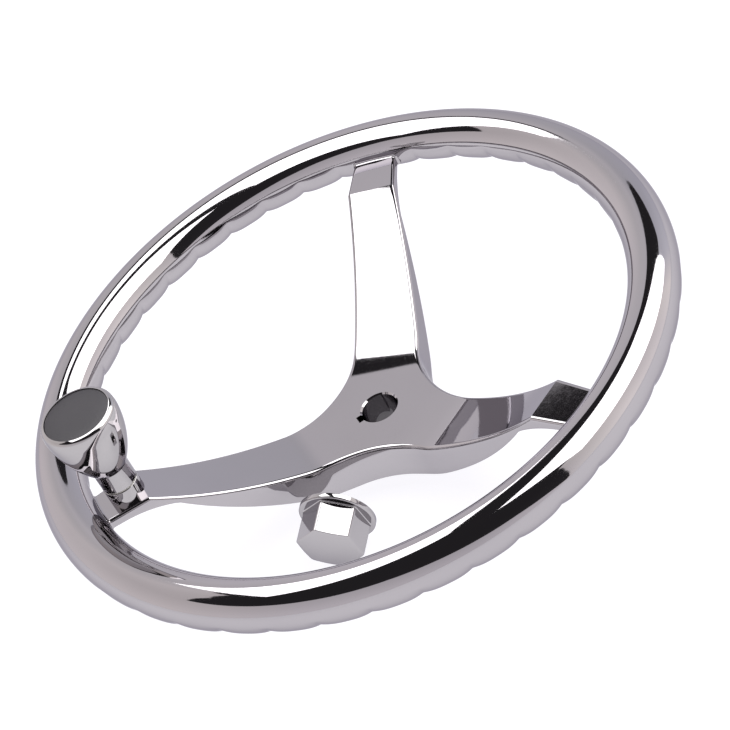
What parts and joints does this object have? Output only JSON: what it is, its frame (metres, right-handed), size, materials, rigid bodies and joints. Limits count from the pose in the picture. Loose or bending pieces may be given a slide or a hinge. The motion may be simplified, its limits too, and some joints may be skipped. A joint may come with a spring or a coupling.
{
  "type": "ship wheel",
  "caption": "Dished three-spoke boat steering wheel in polished stainless steel, with finger grips under the rim, a spinning knob and a keyed hub; its cap nut lies beside the hub.",
  "frame": {"origin": "centre of the shaft bore's mouth on the back face of the hub", "axes": "+Z along the shaft to the helmsman; +Y along the spoke that stands straight up when the knob's spoke is at the lower left; the knob's spoke is at 210 degrees from +X"},
  "size_m": [0.3426, 0.3428, 0.1275],
  "materials": {
    "rim_steel": "mirror polished",
    "spoke_steel": "mirror polished",
    "spindle_steel": "polished",
    "knob_steel": "mirror polished",
    "nut_steel": "polished",
    "fastener_steel": "plain",
    "bush_plastic": "plain",
    "inlay_black": "satin"
  },
  "bodies": {
    "wheel": {"rim": "rim_steel", "spoke_casting": "spoke_steel", "knob_spindle": "spindle_steel", "spindle_screw": "fastener_steel", "stop_washer": "fastener_steel", "stop_screw": "fastener_steel", "hub_nut": "nut_steel"},
    "knob": {"knob_body": "knob_steel", "knob_inlay": "inlay_black", "knob_lower_bush": "bush_plastic", "knob_upper_bush": "bush_plastic"}
  },
  "joints": [
    {"name": "knob_spin", "type": "hinge", "parent": "wheel", "child": "knob", "pos_m": [-0.11215, -0.06475, 0.1], "axis": [0, 0, 1], "continuous": true}
  ]
}
